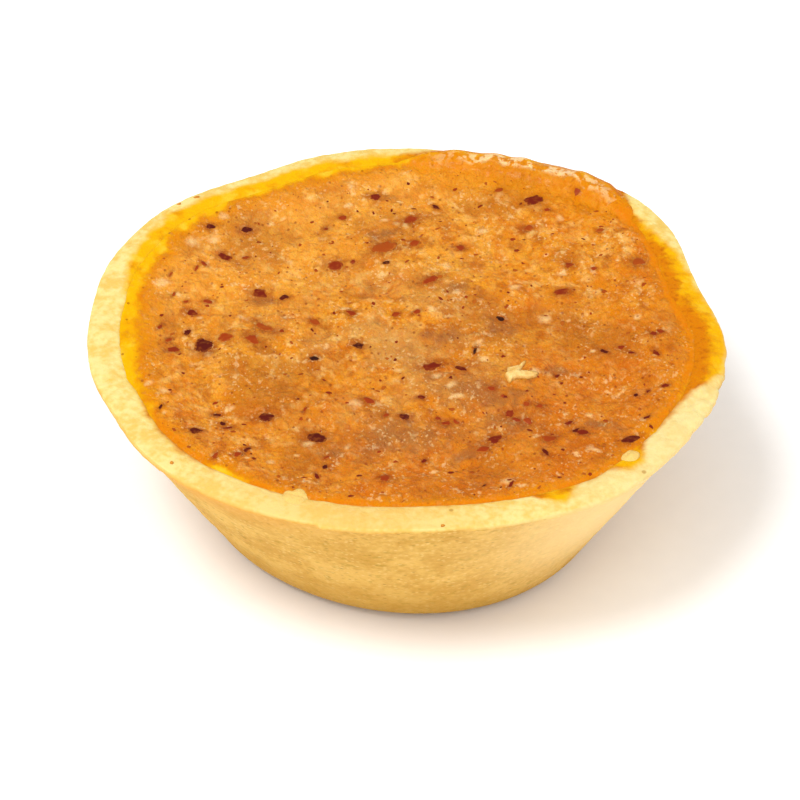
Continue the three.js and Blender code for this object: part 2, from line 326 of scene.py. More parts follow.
# Pastry crumbs: the outlines, in pixels, of the branched one on the filling and of those against the rim
BRANCHED_CRUMB = (
    (504, 379), (507, 376), (507, 369.5), (516, 368), (521, 367), (526, 362.5), (525, 366),
    (520.5, 373.5), (531, 375), (539, 374.5), (537, 378.5), (529, 381), (520, 380.5), (514, 382.5),
    (509, 386),
)
BRANCHED_CRUMB_MIDDLE = (514.5, 375.5)
RIM_CRUMBS = (
    (
        (281, 501), (283, 494), (288, 490), (293, 492), (297, 488), (303, 490), (307, 495), (308, 502),
        (300, 506), (289, 506),
    ),
    (
        (620, 461), (622, 455), (628, 450), (634, 451), (640, 454), (638, 460), (633, 463), (626, 464),
    ),
)

# Studio: the lamp's azimuth and elevation, a metre away; the room's glow, and where it is brighter:
# azimuth, elevation, the cosines at which that starts and is full, and how much brighter
LAMP_PLACE = (223, 62)
LAMP_SIZE = 0.36
LAMP_POWER = 6.2
STUDIO_GLOW = 0.27
STUDIO_LIGHTS = ((215, 35, 0.2, 0.9, 0.95), (-5, 30, 0.25, 1.0, 1.1))
FLOOR_HALF = 2.0  # metres from the floor's middle to its sides

# Mesh fineness
COLUMNS = 720
BASE_STEPS = 8
WALL_ROWS = 46
LIP_ROWS = 5
EDGE_ROWS = 7
RIM_ROWS = 30
CAVITY_STEPS = 4
FILLING_STEPS = 290
BASE_SHARES = (0.35, 0.7, 0.9)  # rows across the base, as shares of its radius
CAVITY_DEPTHS = (0.8, 2.0, 4.0, 8.0)  # rows down the cavity's wall
CAVITY_SHARE = 0.5  # the row on the cavity's floor


def hump(angle, at, spread):
    """1 at one angle, falling away softly to near 0 two spreads from it."""
    away = (angle - at + 180) % 360 - 180
    return np.exp(-((away / spread) ** 2))


def humps(angle, rows):
    """The sum of several humps, each with its own height."""
    return sum(height * hump(angle, at, spread) for at, spread, height in rows)


def round_the_rim(angle, rows):
    """A value given at some angles, and in between them for the others."""
    angles, values = zip(*rows)
    return np.interp(angle, angles, values, period=360)


def smoothstep(value, low, high):
    share = np.clip((value - low) / (high - low), 0, 1)
    return share * share * (3 - 2 * share)


def mix(first, second, share):
    return first + (second - first) * share


def heading(turn):
    """The cosine and sine of an angle in degrees."""
    return math.cos(math.radians(turn)), math.sin(math.radians(turn))


def rim_height(angle):
    return HEIGHT - RIM_DIP * np.clip(humps(angle, OVERFLOWS), 0, 1)


def swell(angle, height):
    """How far the crust stands out of its circle."""
    rise = np.clip(height / HEIGHT, 0, 1)
    base = BASE_WOBBLE * np.cos(np.radians(BASE_LOBES * (angle - BASE_LOBE_ANGLE)))
    return humps(angle, RIM_SWELLS) * rise ** SWELL_FADE + base * (1 - rise)


def wall_radius(angle, height):
    return mix(BASE_RADIUS, RIM_RADIUS, height / HEIGHT) + swell(angle, height)


def cavity_radius(angle, height):
    return wall_radius(angle, height) - RIM_WIDTH


def inner_edge(angle):
    return cavity_radius(angle, rim_height(angle))


def lip(angle):
    """How far the rim's pressed edge stands out from the wall."""
    ledges = 0
    for start, fade, by in LIP_LEDGES:
        past = (angle - start + 180) % 360 - 180
        rise = smoothstep(past, -LEDGE_START, LEDGE_START)
        ledges = ledges + by * rise * np.exp(-np.maximum(past, 0) / fade)
    return LIP_LEAST + ledges


def filling_level(angle, share):
    """The filling's height, share of the way from its middle to the rim, without its grain or spill."""
    place = polar(angle, share * cavity_radius(angle, HEIGHT), 0)
    height = FILLING_TOP + LEAN * share * np.cos(np.radians(angle - LEAN_ANGLE))
    for length, turn, rise in MOUNDS:
        c, s = heading(turn)
        along = place[..., 0] * c + place[..., 1] * s
        height = height + rise * np.sin(2 * math.pi * along / length)
    return mix(height, rim_height(angle) + EDGE_ABOVE, smoothstep(share, EDGE_FROM, 1))


def rim_top(angle, radius):
    """The crust's height across the rim: a low crown that slopes down under the filling's edge."""
    rim = rim_height(angle)
    out = radius - inner_edge(angle)
    foot = rim - SLOPE_FOOT
    crown = RIM_CROWN * np.sin(math.pi * np.clip(out / RIM_WIDTH, 0, 1))
    return mix(foot, rim, smoothstep(out, -SLOPE_IN, SLOPE_OUT)) + crown


def filling_edge(angle):
    """The filling's radius: just past the rim's inner edge, or out over the rim where it has spilt."""
    spilt = RIM_WIDTH * round_the_rim(angle, SPILL)
    return inner_edge(angle) + np.maximum(round_the_rim(angle, OVERLAP), spilt)


def filling_height(angle, radius):
    """The filling's height without its grain, out to its feathered edge or its spill's rounded front."""
    inner = inner_edge(angle)
    out = radius - inner
    top = rim_top(angle, radius)
    level = filling_level(angle, np.minimum(radius / inner, 1.0))
    level = mix(level, top - FEATHER, smoothstep(out, 0, round_the_rim(angle, OVERLAP)))
    run = RIM_WIDTH * round_the_rim(angle, SPILL)
    front = np.clip(out / np.maximum(run, SPILL_LEAST_RUN), 0, 1)
    thick = (round_the_rim(angle, SPILL_DEPTH) + humps(angle, SPILL_HUMPS)) * np.sqrt(1 - front ** 4)
    spilt = smoothstep(run, *SPILL_RUN) * smoothstep(out, *SPILL_CLIMB)
    return mix(level, top + thick, spilt)


def noise_at(points, size, octaves=3):
    """Soft noise from about -1 to 1 with features of this size."""
    return np.array([noise.fractal(Vector(p), 1.0, 2.0, octaves) for p in points / size])


def grains_at(points, size):
    """Rounded grains of this size, side by side: 1 on top of each and 0 between them."""
    away = [noise.voronoi(Vector(p))[0][0] for p in points / size]
    return np.array([1 - min(distance / GRAIN_REACH, 1) ** 2 for distance in away])


def relief(points, layers):
    """Several layers of soft noise: each one's height, size, place in the noise and octaves."""
    return sum(rise * noise_at(points + shift, size, octaves) for rise, size, shift, octaves in layers)


def polar(angle, radius, height):
    """Points from their angles, radii and heights."""
    turn = np.radians(angle)
    return np.stack(np.broadcast_arrays(radius * np.cos(turn), radius * np.sin(turn), height), axis=-1)


def bearings(points):
    """The angle and radius of each point."""
    return np.degrees(np.arctan2(points[..., 1], points[..., 0])), np.hypot(points[..., 0], points[..., 1])


def grid_normals(points):
    """Outward normals of a closed band of points, rows by columns."""
    along = np.gradient(points, axis=0)
    around = np.roll(points, -1, axis=1) - np.roll(points, 1, axis=1)
    normals = np.cross(around, along)
    return normals / np.linalg.norm(normals, axis=-1, keepdims=True)


def band_faces(rows, columns, first=0):
    """Quads between the neighbouring rows of a closed band."""
    here = first + np.arange((rows - 1) * columns).reshape(rows - 1, columns)
    beside = np.roll(here, -1, axis=1)
    return np.stack([here, beside, beside + columns, here + columns], axis=-1).reshape(-1, 4).tolist()


def fan_faces(ring, centre):
    """Triangles from a ring of points to its middle."""
    return [(centre, ring[i], ring[(i + 1) % len(ring)]) for i in range(len(ring))]


def capped_band(rows, columns):
    """Faces of a closed body: rows of points from its underside up, then its lowest and highest point."""
    count = rows * columns
    faces = band_faces(rows, columns)
    faces += fan_faces(list(range(columns - 1, -1, -1)), count)
    return faces + fan_faces(list(range(count - columns, count)), count + 1)


def add_piece(name, points, faces, material, marks):
    """Make a smooth-shaded piece that rides on the tartlet; marks are values painted on its points."""
    mesh = bpy.data.meshes.new(name)
    mesh.from_pydata((np.asarray(points) * MM + AXIS).tolist(), [], faces)
    for label, values in marks.items():
        painted = mesh.attributes.new(label, "FLOAT", "POINT")
        painted.data.foreach_set("value", np.asarray(values, dtype=np.float32))
    mesh.shade_smooth()
    mesh.materials.append(material)
    piece = bpy.data.objects.new(name, mesh)
    bpy.context.scene.collection.objects.link(piece)
    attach(piece, "root")
    return piece


# Camera


def add_camera():
    data = bpy.data.cameras.new("photo_view")
    data.lens = CAMERA_LENS
    data.sensor_width = CAMERA_SENSOR
    camera = bpy.data.objects.new("photo_view", data)
    camera.location = Vector(CAMERA_PLACE) * MM + Vector(AXIS)
    sight = Vector(CAMERA_AIM) - Vector(CAMERA_PLACE)
    camera.rotation_euler = sight.to_track_quat("-Z", "Y").to_euler()
    bpy.context.scene.collection.objects.link(camera)
    bpy.context.scene.camera = camera


def seen_at(across, down, height):
    """The point at this height that the photograph shows at a pixel."""
    forward = (Vector(CAMERA_AIM) - Vector(CAMERA_PLACE)).normalized()
    right = forward.cross(Vector((0, 0, 1))).normalized()
    up = right.cross(forward)
    focal = PICTURE_SIZE * CAMERA_LENS / CAMERA_SENSOR
    middle = PICTURE_SIZE / 2
    ray = forward + right * ((across - middle) / focal) - up * ((down - middle) / focal)
    reach = (height - CAMERA_PLACE[2]) / ray.z
    return np.array(Vector(CAMERA_PLACE) + ray * reach)


def seen_stroke(across, down, length, breadth, turn, height):
    """A stroke in the photograph as it lies at this height: its middle, length, heading and slimness."""
    c, s = (part / 2 for part in heading(turn))
    ends = [seen_at(across + side * length * c, down - side * length * s, height) for side in (-1, 1)]
    sides = [seen_at(across + side * breadth * s, down + side * breadth * c, height) for side in (-1, 1)]
    x, y, _ = (ends[0] + ends[1]) / 2
    along = ends[1] - ends[0]
    lies = math.atan2(along[1], along[0])
    across_it = sides[1] - sides[0]
    real_breadth = abs(across_it[1] * math.cos(lies) - across_it[0] * math.sin(lies))
    real_length = math.hypot(along[0], along[1])
    return x, y, real_length, math.degrees(lies), real_breadth / real_length


# Crust


def rounded_corner(corner_radius, floor_height, rounding, steps):
    """Rows of the arc that rounds the corner where the wall rises off a floor, from floor to wall."""
    slope = math.atan2(RIM_RADIUS - BASE_RADIUS, HEIGHT)
    tangent = rounding * math.tan((math.pi / 2 - slope) / 2)
    turns = np.linspace(-math.pi / 2, -slope, steps + 1)
    arc = [(rounding * math.cos(t), rounding * (1 + math.sin(t))) for t in turns]
    return [(corner_radius - tangent + out, floor_height + up) for out, up in arc]


def crust_rows(angle):
    """The crust's section at each angle, from its base, up the wall, over the rim and into the cavity:
    each row's radii, heights and distance inside the rim's outer edge."""
    rim = rim_height(angle)
    inner = inner_edge(angle)
    outer = inner + RIM_WIDTH + lip(angle)
    corner = rounded_corner(BASE_RADIUS + swell(angle, 0), 0, BASE_ROUNDING, BASE_STEPS)
    rows = [(corner[0][0] * share, 0 * angle, BASE_INSIDE) for share in BASE_SHARES]
    rows += [(radius, height + 0 * angle, FOOT_INSIDE) for radius, height in corner]
    foot = corner[-1][1]
    for i in range(1, WALL_ROWS + 1):
        height = mix(foot, rim - LIP_DEPTH, i / WALL_ROWS)
        rows.append((wall_radius(angle, height), height, -LIP_DEPTH - WALL_RUN * (1 - i / WALL_ROWS)))
    for i in range(1, LIP_ROWS + 1):
        share = i / LIP_ROWS
        drop = mix(LIP_DEPTH, LIP_DEPTH * LIP_FACE, share)
        radius = mix(wall_radius(angle, rim - drop), outer, smoothstep(share, 0, 1))
        rows.append((radius, rim - drop, -drop))
    shoulder = rim_top(angle, outer - EDGE_ROUNDING)
    for turn in np.linspace(0, math.pi / 2, EDGE_ROWS):
        radius = outer - EDGE_ROUNDING * (1 - math.cos(turn))
        height = shoulder - EDGE_ROUNDING * (1 - math.sin(turn))
        rows.append((radius, height, EDGE_ROUNDING * (turn / math.pi * 2 - 0.5)))
    for share in np.linspace(0, 1, RIM_ROWS + 1)[1:]:
        radius = mix(outer - EDGE_ROUNDING, inner - SLOPE_IN, share)
        rows.append((radius, rim_top(angle, radius), EDGE_ROUNDING + share * (RIM_WIDTH + SLOPE_IN)))
    foot = rim_top(angle, inner - SLOPE_IN)
    for depth in CAVITY_DEPTHS:
        rows.append((cavity_radius(angle, foot - depth), foot - depth, RIM_WIDTH + depth + PAST_RIM))
    cavity = rounded_corner(cavity_radius(angle, FLOOR), FLOOR, CAVITY_ROUNDING, CAVITY_STEPS)
    rows += [(radius, height + 0 * angle, CAVITY_INSIDE) for radius, height in reversed(cavity)]
    rows.append((cavity[0][0] * CAVITY_SHARE, FLOOR + 0 * angle, CAVITY_FLOOR_INSIDE))
    return rows


def crust_relief(points, inside, angle):
    """How far the crust stands out: sandy on the wall, smoother on the cut rim, broken at the right."""
    top = smoothstep(inside, *RIM_BEGINS)
    wall = relief(points, WALL_RELIEF)
    pits = np.maximum(0, relief(points * PIT_FLATTENING, (PIT_LAYER,)) - PIT_FROM)
    rim = relief(points, RIM_RELIEF)
    lumps = LUMP_RISE * (grains_at(points + LUMP_SHIFT, LUMP_SIZE) - 0.5) + relief(points, (LUMP_RELIEF,))
    broken = hump(angle, *CRUMBLY_STRETCH) * smoothstep(inside, *BROKEN_FROM)
    broken = broken * smoothstep(inside, *BROKEN_TO)
    return mix(wall - PIT_DEPTH * pits, rim, top) + lumps * broken


def crust_toast(angle, inside):
    """How toasted the crust is: 1 where it is browner, -1 where it is paler."""
    wall = hump(angle, *WALL_TOAST) * smoothstep(inside, *WALL_TOAST_FADE)
    wall = wall - hump(angle, *WALL_PALE) * smoothstep(inside, *WALL_PALE_FADE)
    rim = RIM_TOAST_SHARE * hump(angle, *RIM_TOAST) - hump(angle, *RIM_PALE)
    return np.where(inside > 0, rim, wall)


def add_crust(material):
    angle = np.arange(COLUMNS) * 360 / COLUMNS
    rows = crust_rows(angle)
    points = np.stack([polar(angle, radius, height) for radius, height, _ in rows])
    inside = np.repeat([row[2] for row in rows], COLUMNS)
    around = np.tile(angle, len(rows))
    flat = points.reshape(-1, 3)
    past = np.hypot(flat[:, 0], flat[:, 1]) - inner_edge(around)
    film = RIM_WIDTH * round_the_rim(around, YOLK_ON_RIM) - past
    stands = np.abs(inside) < FLAT_BEYOND  # the base and the cavity's floor stay flat
    out = crust_relief(flat, inside, around) * stands
    flat = flat + grid_normals(points).reshape(-1, 3) * out[:, None]
    flat[:, 2] = np.maximum(flat[:, 2], 0)
    flat = np.vstack([flat, (0, 0, 0), (0, 0, FLOOR)])
    faded = smoothstep(past, round_the_rim(around, FILM_FADE), FILM_NEAR)
    deepness = round_the_rim(around, FILM_DEEPNESS) * faded
    marks = {
        "inside_edge": np.append(inside, (BASE_INSIDE, CAVITY_FLOOR_INSIDE)),
        "yolk_film": np.append(np.where(inside > FILM_LIMIT, film, NO_FILM), (NO_FILM, -NO_FILM)),
        "film_deepness": np.append(deepness, (0, 0)),
        "toast": np.append(crust_toast(around, inside), (0, 0)),
    }
    piece = add_piece("crust", flat, capped_band(len(rows), COLUMNS), material, marks)
    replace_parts(piece, "pastry_crust")


# Filling


def disc_grid(steps):
    """A square grid bent into a disc: each point's angle and share of the radius, faces and outer ring."""
    line = np.linspace(-1, 1, steps + 1)
    u, v = (side.ravel() for side in np.meshgrid(line, line))
    wide = np.abs(u) > np.abs(v)
    long_side = np.where(wide, u, v)
    short_side = np.where(wide, v, u)
    lean = math.pi / 4 * short_side / np.where(long_side == 0, 1, long_side)
    x = long_side * np.where(wide, np.cos(lean), np.sin(lean))
    y = long_side * np.where(wide, np.sin(lean), np.cos(lean))
    side = steps + 1
    corner = (np.arange(steps)[:, None] * side + np.arange(steps)).ravel()
    faces = np.stack([corner, corner + 1, corner + side + 1, corner + side], axis=-1).tolist()
    front = list(range(steps))
    right = [steps + side * i for i in range(steps)]
    back = [side * side - 1 - i for i in range(steps)]
    left = [side * (side - 1) - side * i for i in range(steps)]
    return np.degrees(np.arctan2(y, x)), np.hypot(x, y), faces, front + right + back + left


def calmness(angle, radius):
    """Where film has smoothed the grain: 1 under the yolk ring and the caramel margin, 0 inside."""
    inside = inner_edge(angle) - radius
    yolk = smoothstep(round_the_rim(angle, YOLK_RING) - inside, *YOLK_CALM)
    margin = smoothstep(round_the_rim(angle, CARAMEL_RING) - np.maximum(inside, 0), *MARGIN_CALM)
    return np.maximum(yolk, margin)


def filling_grain(points):
    """How far the grain of the ground almond stands up, less where film has calmed it."""
    coarse = sum(rise * grains_at(points + shift, size) for rise, size, shift in GRAIN_LAYERS)
    standing = coarse + relief(points, SOFT_RELIEF) - GRAIN_SINK
    return standing * mix(1.0, CALM_GRAIN, calmness(*bearings(points)))


def filling_surface(x, y):
    """The filling's height with its grain at places on it."""
    place = np.stack([x, y, np.zeros_like(x)], axis=-1)
    place[:, 2] = filling_height(*bearings(place))
    return place[:, 2] + filling_grain(place)


def rim_or_filling(x, y):
    """The height of whichever lies higher, the rim or the filling's edge."""
    angle, radius = bearings(np.stack([x, y], axis=-1))
    return np.maximum(filling_surface(x, y), rim_top(angle, radius))


def nearness(points, spots):
    """How near each point is to a stroke's middle: 1 there and 0 at the stroke's outline."""
    near = np.full(len(points), FAR_OFF)
    for x, y, length, turn, slimness in spots:
        c, s = heading(turn)
        along = (points[:, 0] - x) * c + (points[:, 1] - y) * s
        aside = (points[:, 1] - y) * c - (points[:, 0] - x) * s
        near = np.maximum(near, 1 - np.hypot(along, aside / slimness) / (length / 2))
    return near


def filling_skirt(angle, edge, top):
    """Rows of points from the filling's top edge down through the rim's slope to its underside."""
    rows = [polar(angle, edge + out, top - drop) for out, drop in SKIRT]
    foot = HEIGHT - SKIRT_FOOT
    rows.append(polar(angle, cavity_radius(angle, foot) - SKIRT_CLEAR, foot))
    corner = cavity_radius(angle, FLOOR + UNDERSIDE_CORNER) - UNDERSIDE_CLEAR
    rows.append(polar(angle, corner, FLOOR + UNDERSIDE))
    return np.vstack(rows)


def filling_marks(points, angle, inside, front, flecks):
    """Values painted on the filling: where film, spill, bits, smudges and stains lie, and its baking."""
    draw = np.random.default_rng(STRAY_SEED + 1)
    bits = [seen_stroke(*row, FILLING_TOP) for row in PALE_BITS]
    for x, y in stray_places(draw, STRAY_BITS, BIT_CLEAR):
        length = mix(*BIT_LENGTHS, draw.random() ** BIT_SKEW)
        bits.append((x, y, length, draw.uniform(0, 180), draw.uniform(*BIT_SLIMNESS)))
    smudges = [seen_stroke(*row, FILLING_TOP) for row in SMUDGES]
    stains = [(x, y, STAIN_SPREAD * length, turn, slim) for x, y, length, turn, slim in flecks]
    spill = round_the_rim(angle, SPILL)
    from_middle = (points[:, 0] - MILKY_MIDDLE[0]) ** 2 + (points[:, 1] - MILKY_MIDDLE[1]) ** 2
    return {
        "yolk_ring": round_the_rim(angle, YOLK_RING) - inside,
        "margin": round_the_rim(angle, CARAMEL_RING) - np.maximum(inside, 0),
        "pale": nearness(points, bits),
        "smudge": nearness(points, smudges),
        "stain": nearness(points, stains),
        "bake": (BAKE_ACROSS * points[:, 0] - BAKE_DOWN * points[:, 1]) / RIM_RADIUS,
        "spilt": smoothstep(spill, *SPILT_SHARE) * smoothstep(inside, *SPILT_REACH),
        "spill_front": mix(RIM_RADIUS, front, smoothstep(spill, *SPILL_FRONT_SHARE)),
        "painted_gleam": round_the_rim(angle, SPILL_PAINTED_GLEAM),
        "milky": np.exp(-from_middle / MILKY_SPREAD ** 2),
    }


def add_filling(material, flecks):
    angle, share, faces, ring = disc_grid(FILLING_STEPS)
    edge = filling_edge(angle)
    radius = share * edge
    points = polar(angle, radius, filling_height(angle, radius))
    points[:, 2] += filling_grain(points)
    marks = filling_marks(points, angle, inner_edge(angle) - radius, edge - radius, flecks)
    count = len(points)
    size = len(ring)
    skirt = filling_skirt(angle[ring], edge[ring], points[ring, 2])
    rows = len(skirt) // size
    faces += [(ring[(i + 1) % size], ring[i], count + i, count + (i + 1) % size) for i in range(size)]
    faces += [(b, a, d, c) for a, b, c, d in band_faces(rows, size, count)]
    last = count + len(skirt) - size
    faces += fan_faces(list(range(last + size - 1, last - 1, -1)), count + len(skirt))
    points = np.vstack([points, skirt, (0, 0, FLOOR + UNDERSIDE)])
    around_skirt = np.append(np.tile(ring, rows), ring[0])
    marks = {label: np.append(values, values[around_skirt]) for label, values in marks.items()}
    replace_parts(add_piece("filling", points, faces, material, marks), "almond_filling")


# Flecks and crumbs


def softened(outline):
    """The outline with each point drawn towards its neighbours."""
    return 0.5 * outline + 0.25 * (np.roll(outline, 1, axis=0) + np.roll(outline, -1, axis=0))


def fragment_outline(draw, corners, steps):
    """The outline of a broken fragment of unit length, with sharp corners and slightly uneven sides."""
    turn = np.arange(corners) + draw.uniform(-CORNER_SHIFT, CORNER_SHIFT, corners)
    turn = turn * 2 * math.pi / corners
    reach = draw.uniform(*CORNER_REACH, corners) / 2
    tips = np.stack([reach * np.cos(turn), reach * np.sin(turn)], axis=-1)
    sides = np.roll(tips, -1, axis=0)
    outline = np.stack([mix(tips, sides, i / steps) for i in range(steps)], axis=1).reshape(-1, 2)
    if steps > 1:
        outline = softened(outline + draw.uniform(-ROUGHNESS, ROUGHNESS, outline.shape))
    return outline


def fleck(draw, x, y, length, turn, slimness, rise, fine, ground=filling_surface):
    """A thin fragment that follows the ground: its points, faces and how far inside each point is."""
    corners = int(draw.integers(*FLECK_CORNERS))
    outline = fragment_outline(draw, corners, FLECK_STEPS if fine else 1) * (length, length * slimness)
    along, aside = outline[:, 0], outline[:, 1]
    c, s = heading(turn)
    outline = np.stack([along * c - aside * s, along * s + aside * c], axis=-1)
    return laid_flat(outline * FLECK_SPREAD, (x, y), FINE_LAYERS if fine else PLAIN_LAYERS, rise, ground)


def laid_flat(outline, middle, layers, rise, ground):
    """A thin body of this outline on the ground: its points, faces and how far inside each point is."""
    flat = np.vstack([outline * grow for grow, _ in layers] + [(0, 0), (0, 0)]) + middle
    lift = [up if up < 0 else up * rise for _, up in layers]
    lift = np.append(np.repeat(lift, len(outline)), (min(lift), rise))
    points = np.column_stack([flat, ground(flat[:, 0], flat[:, 1]) + lift])
    core = np.append(np.repeat([max(0.0, 1 - grow) for grow, _ in layers], len(outline)), (0, 1))
    return points, capped_band(len(layers), len(outline)), core


def joined(parts):
    """Many small meshes as one: points, faces, how far inside each point is, and each mesh's count."""
    faces, sizes = [], []
    for points, part_faces, _ in parts:
        first = sum(sizes)
        faces += [tuple(first + i for i in face) for face in part_faces]
        sizes.append(len(points))
    points, _, cores = zip(*parts)
    return np.vstack(points), faces, np.concatenate(cores), sizes


def stray_places(draw, count, clear):
    """Places spread over the filling, clear of the yolk film and of its edge."""
    places = []
    while len(places) < count:
        x, y = draw.uniform(-RIM_RADIUS, RIM_RADIUS, 2)
        angle = math.degrees(math.atan2(y, x))
        inside = inner_edge(angle) - math.hypot(x, y)
        if inside > max(clear, round_the_rim(angle, YOLK_RING) + clear):
            places.append((x, y))
    return places


def add_flecks(material):
    """Flecks of almond skin: those that the photograph shows, finer strays, and specks on the rim.
    Returns how the large ones lie."""
    draw = np.random.default_rng(STRAY_SEED)
    flecks, tones, strokes = [], [], []
    for rows, tone, slimness in FLECK_KINDS:
        for across, down, length, turn in rows:
            breadth = length * slimness * draw.uniform(*FLECK_BREADTHS)
            strokes.append(seen_stroke(across, down, length, breadth, turn, FILLING_TOP))
            flecks.append(fleck(draw, *strokes[-1], FLECK_RISE, True))
            tones.append(tone + draw.uniform(*FLECK_TONES))
    for x, y in stray_places(draw, STRAY_FLECKS, STRAY_CLEAR):
        length = mix(*STRAY_LENGTHS, draw.random() ** STRAY_SKEW)
        turn = draw.uniform(0, 180)
        flecks.append(fleck(draw, x, y, length, turn, draw.uniform(*STRAY_SLIMNESS), STRAY_RISE, False))
        tones.append(draw.uniform(*STRAY_TONES))
    for row in FLECKS_ON_RIM:
        flecks.append(fleck(draw, *seen_stroke(*row, HEIGHT), RIM_SPECK_RISE, True, rim_or_filling))
        tones.append(RIM_SPECK_TONE)
    points, faces, cores, sizes = joined(flecks)
    marks = {"tone": np.repeat(tones, sizes), "core": cores}
    add_piece("skin_flecks", points, faces, material, marks)
    return strokes


def crumb(draw, pixels, middle, level, layers, rise, ground, smoothing, lumps):
    """A rough crumb of this outline in the photograph: points, faces and how far inside each point is."""
    middle = seen_at(*middle, level)[:2]
    corners = np.array([seen_at(*pixel, level)[:2] for pixel in reversed(pixels)]) - middle
    ahead = np.roll(corners, -1, axis=0)
    outline = np.stack([mix(corners, ahead, share) for share in CRUMB_SIDE_SHARES], axis=1).reshape(-1, 2)
    outline = outline + draw.uniform(-ROUGHNESS, ROUGHNESS, outline.shape)
    for _ in range(smoothing):
        outline = softened(outline)
    points, faces, core = laid_flat(outline, middle, layers, rise, ground)
    points[:, 2] += (CRUMB_LEAST_LUMPS + lumps * core) * noise_at(points, CRUMB_LUMP_SIZE)
    return points, faces, core


def add_crumbs(material):
    """The branched crumb on the filling and the crumbs against the rim's inner edge."""
    draw = np.random.default_rng(STRAY_SEED + 2)
    lying = (FILLING_TOP, CRUMB_LAYERS, CRUMB_RISE, filling_surface, 0, BRANCHED_CRUMB_LUMPS)
    crumbs = [crumb(draw, BRANCHED_CRUMB, BRANCHED_CRUMB_MIDDLE, *lying)]
    leaning = (HEIGHT, RIM_CRUMB_LAYERS, RIM_CRUMB_RISE, rim_or_filling)
    leaning += (RIM_CRUMB_SMOOTHING, RIM_CRUMB_LUMPS)
    for pixels in RIM_CRUMBS:
        crumbs.append(crumb(draw, pixels, np.mean(pixels, axis=0), *leaning))
    points, faces, cores, sizes = joined(crumbs)
    marks = {"core": cores, "paleness": np.repeat((0, 1, 1), sizes)}
    add_piece("pastry_crumbs", points, faces, material, marks)


# Shader helpers


def paint(code):
    """A colour written as in a paint chart, #RRGGBB, for a shader."""
    parts = [int(code[i:i + 2], 16) / 255 for i in (1, 3, 5)]
    return (*(c / 12.92 if c <= 0.04045 else ((c + 0.055) / 1.055) ** 2.4 for c in parts), 1.0)


def node(tree, kind, inputs=None, **settings):
    """Add a shader node; an input is a socket to link from or a plain value."""
    made = tree.nodes.new("ShaderNode" + kind)
    for name, value in settings.items():
        setattr(made, name, value)
    for name, value in (inputs or {}).items():
        if isinstance(value, bpy.types.NodeSocket):
            tree.links.new(value, made.inputs[name])
        else:
            made.inputs[name].default_value = value
    return made


def blend(tree, amount, first, second):
    """A colour between two, by amount; each is a socket or written as in a paint chart."""
    first, second = (paint(side) if isinstance(side, str) else side for side in (first, second))
    return node(tree, "Mix", {0: amount, 6: first, 7: second}, data_type="RGBA").outputs[2]


def between(tree, value, low, high, start=0.0, end=1.0):
    """A value mapped smoothly from one range to another."""
    inputs = {"Value": value, "From Min": low, "From Max": high, "To Min": start, "To Max": end}
    return node(tree, "MapRange", inputs, interpolation_type="SMOOTHSTEP").outputs[0]


def sum_of(tree, first, second, factor=1.0):
    """first + second * factor."""
    return node(tree, "Math", {0: second, 1: factor, 2: first}, operation="MULTIPLY_ADD").outputs[0]


def times(tree, first, second):
    return node(tree, "Math", {0: first, 1: second}, operation="MULTIPLY").outputs[0]


def larger(tree, first, second):
    return node(tree, "Math", {0: first, 1: second}, operation="MAXIMUM").outputs[0]


def mark(tree, label):
    """A value painted on the piece's points."""
    return node(tree, "Attribute", attribute_name=label).outputs["Fac"]


def noise_map(tree, place, size, detail):
    """Noise with features of about this size in millimetres."""
    inputs = {"Vector": place, "Scale": 1 / (size * MM), "Detail": detail}
    return node(tree, "TexNoise", inputs).outputs["Fac"]


def blotches(tree, place, size, detail, low, high, start=0.0, end=1.0):
    """Noise with features of about this size in millimetres, mapped smoothly from one range to another."""
    return between(tree, noise_map(tree, place, size, detail), low, high, start, end)


def frayed(tree, label, place, size, detail, by):
    """A value painted on the piece's points, frayed by noise of this size in millimetres."""
    return sum_of(tree, mark(tree, label), noise_map(tree, place, size, detail), by)


def new_group(name, inputs, outputs):
    """A shader node group with named sockets: its tree, the inputs to read and the outputs to fill."""
    tree = bpy.data.node_groups.new(name, "ShaderNodeTree")
    for label, kind in inputs:
        tree.interface.new_socket(label, in_out="INPUT", socket_type="NodeSocket" + kind)
    for label, kind in outputs:
        tree.interface.new_socket(label, in_out="OUTPUT", socket_type="NodeSocket" + kind)
    return tree, tree.nodes.new("NodeGroupInput").outputs, tree.nodes.new("NodeGroupOutput").inputs


def use(tree, group, inputs):
    """Place a node group in a material with its own values."""
    return node(tree, "Group", inputs, node_tree=group).outputs


def mottled(tree, group, place, patch, speck, pale, deep):
    """Uneven baking between two colours, with the sizes of its patches and specks."""
    inputs = {"Place": place, "Patch Size": patch, "Speck Size": speck}
    return use(tree, group, inputs | {"Pale": paint(pale), "Deep": paint(deep)})


def grained(tree, group, place, size, dust, depth):
    """Grain of this size and depth, with its share of dust."""
    return use(tree, group, {"Place": place, "Grain Size": size, "Dust": dust, "Depth": depth})


def speckled(tree, group, place, cell, share, radius):
    """A mask of rare specks: the size of the cells, the share that has one, and its radius in cells."""
    return use(tree, group, {"Place": place, "Cell Size": cell, "Share": share, "Radius": radius})["Mask"]


def per_mm(tree, size):
    """A texture's scale for features of a size given in millimetres."""
    return node(tree, "Math", {0: 1 / MM, 1: size}, operation="DIVIDE").outputs[0]


def new_material(name):
    """An empty material: its tree, its shader and the place of each point of the surface."""
    material = bpy.data.materials.new(name)
    material.use_nodes = True
    tree = material.node_tree
    return material, tree, tree.nodes["Principled BSDF"], node(tree, "TexCoord").outputs["Object"]


def set_up(shader, **values):
    """Set a shader's plain values by socket name, with _ for a space."""
    for name, value in values.items():
        shader.inputs[name.replace("_", " ")].default_value = value


